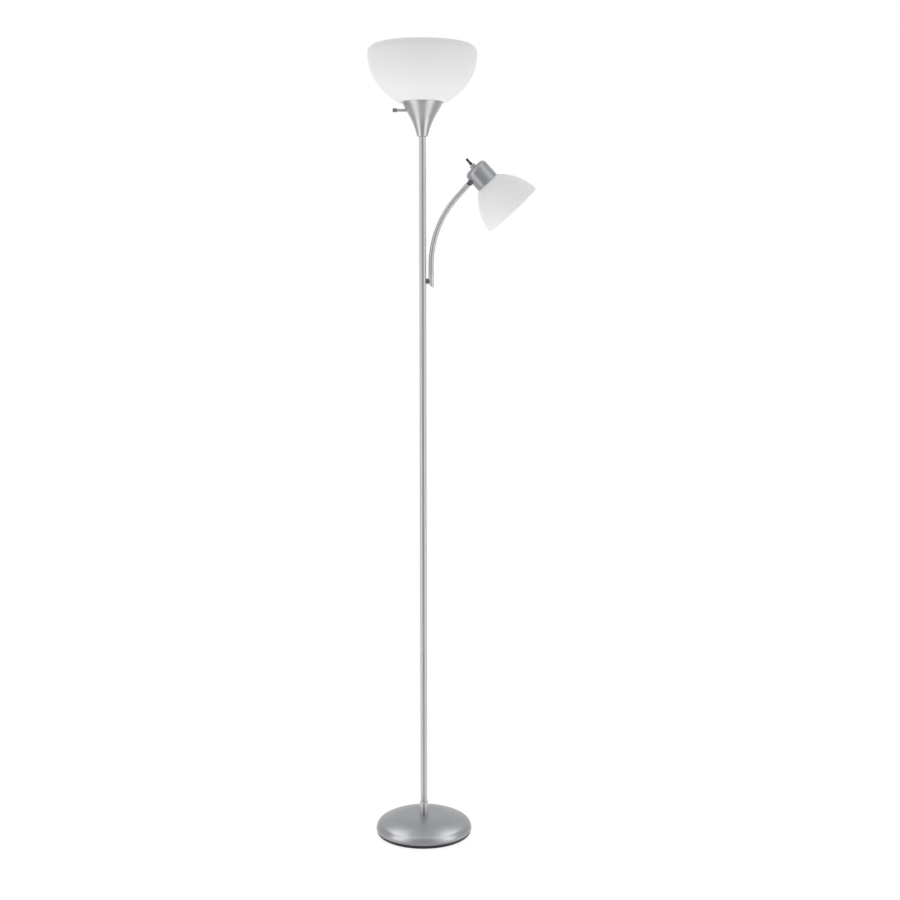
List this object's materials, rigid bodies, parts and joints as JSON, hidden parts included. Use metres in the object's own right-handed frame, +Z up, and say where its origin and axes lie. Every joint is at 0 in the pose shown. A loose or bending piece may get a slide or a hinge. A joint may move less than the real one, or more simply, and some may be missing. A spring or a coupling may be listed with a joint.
{
  "type": "torchiere floor lamp",
  "caption": "Torchiere floor lamp: round weighted base, slim pole, open bowl shade facing up, and a bell-shaped reading light on a flexible side arm.",
  "frame": {"origin": "on the pole's axis, at the felt pad's underside, which rests on the floor", "axes": "+Z up along the pole, +X from the pole towards the reading light, -X along the torchiere's switch"},
  "size_m": [0.3776, 0.2434, 1.81],
  "materials": {
    "silver_paint": "satin",
    "satin_pole": "satin",
    "satin_trumpet": "satin",
    "gooseneck_metal": "satin",
    "dark_fitting": "satin",
    "housing_paint": "satin",
    "shade_plastic": "matte",
    "ring_plastic": "matte",
    "black_plastic": "matte",
    "knob_grey": "satin",
    "switch_stem_metal": "satin",
    "felt": "matte",
    "bushing_rubber": "matte",
    "cast_weight": "matte",
    "plated_steel": "satin",
    "brass_fitting": "satin",
    "wire_insulation": "gloss",
    "bulb_glass": "gloss",
    "bulb_cap_metal": "satin"
  },
  "bodies": {
    "stand": {"base_cover": "silver_paint", "base_weight": "cast_weight", "base_pan": "black_plastic", "floor_pad": "felt", "pan_screws": "plated_steel", "base_washer": "plated_steel", "base_nut": "brass_fitting", "base_nipple": "plated_steel", "cord_bushing": "bushing_rubber", "base_collar": "satin_pole", "foot_plug": "plated_steel", "pole_section_1": "satin_pole", "pole_section_2": "satin_pole", "pole_section_3": "satin_pole", "pole_section_4": "satin_pole", "pole_coupler_1": "plated_steel", "pole_coupler_2": "plated_steel", "pole_coupler_3": "plated_steel", "top_plug": "plated_steel", "top_nipple": "plated_steel", "riser_wire": "wire_insulation", "trumpet": "satin_trumpet", "trumpet_washer": "plated_steel", "trumpet_nut": "brass_fitting", "torchiere_socket": "black_plastic", "torchiere_screw_shell": "brass_fitting", "torchiere_contact": "brass_fitting", "bowl_shade": "shade_plastic", "bowl_ring": "ring_plastic", "torchiere_bulb_cap": "bulb_cap_metal", "torchiere_bulb_glass": "bulb_glass", "arm_spacer": "dark_fitting", "arm_barrel": "gooseneck_metal", "arm_nipple": "plated_steel", "arm_nut": "brass_fitting"},
    "torchiere_switch": {"torchiere_switch_stem": "switch_stem_metal", "torchiere_switch_knob": "knob_grey"},
    "gooseneck_1": {"gooseneck_1": "gooseneck_metal"},
    "gooseneck_2": {"gooseneck_2": "gooseneck_metal"},
    "gooseneck_3": {"gooseneck_3": "gooseneck_metal"},
    "gooseneck_4": {"gooseneck_4": "gooseneck_metal"},
    "gooseneck_5": {"gooseneck_5": "gooseneck_metal"},
    "gooseneck_6": {"gooseneck_6": "gooseneck_metal"},
    "reading_head": {"head_ferrule": "dark_fitting", "ferrule_nipple": "plated_steel", "ferrule_nut": "brass_fitting", "reading_housing": "housing_paint", "reading_socket": "black_plastic", "reading_screw_shell": "brass_fitting", "reading_contact": "brass_fitting", "reading_shade": "shade_plastic", "reading_ring": "ring_plastic", "reading_bulb_cap": "bulb_cap_metal", "reading_bulb_glass": "bulb_glass"},
    "reading_switch": {"reading_switch_stem": "switch_stem_metal", "reading_switch_knob": "black_plastic"}
  },
  "joints": [
    {"name": "arm_bend_1", "type": "hinge", "parent": "stand", "child": "gooseneck_1", "pos_m": [0.019, 0, 1.3033], "axis": [0, 1, 0], "range_deg": [-4, 25]},
    {"name": "arm_sway_1", "type": "hinge", "parent": "gooseneck_1", "child": "gooseneck_2", "pos_m": [0.01942, 0, 1.341], "axis": [0.997, 0, -0.0778], "range_deg": [-25, 25]},
    {"name": "arm_bend_2", "type": "hinge", "parent": "gooseneck_2", "child": "gooseneck_3", "pos_m": [0.02485, 0, 1.37827], "axis": [0, 1, 0], "range_deg": [-15, 25]},
    {"name": "arm_sway_2", "type": "hinge", "parent": "gooseneck_3", "child": "gooseneck_4", "pos_m": [0.03642, 0, 1.4141], "axis": [0.9226, 0, -0.3858], "range_deg": [-25, 25]},
    {"name": "arm_bend_3", "type": "hinge", "parent": "gooseneck_4", "child": "gooseneck_5", "pos_m": [0.05381, 0, 1.44751], "axis": [0, 1, 0], "range_deg": [-25, 25]},
    {"name": "arm_sway_3", "type": "hinge", "parent": "gooseneck_5", "child": "gooseneck_6", "pos_m": [0.07652, 0, 1.47755], "axis": [0.7711, 0, -0.6367], "range_deg": [-25, 25]},
    {"name": "head_bend", "type": "hinge", "parent": "gooseneck_6", "child": "reading_head", "pos_m": [0.10175, 0, 1.50557], "axis": [0, 1, 0], "range_deg": [-25, 25]},
    {"name": "torchiere_switch_turn", "type": "hinge", "parent": "stand", "child": "torchiere_switch", "pos_m": [-0.02, 0, 1.6682], "axis": [-1, 0, 0], "continuous": true},
    {"name": "reading_switch_turn", "type": "hinge", "parent": "reading_head", "child": "reading_switch", "pos_m": [0.1085, 0, 1.55289], "axis": [-0.682, 0, 0.7314], "continuous": true}
  ]
}
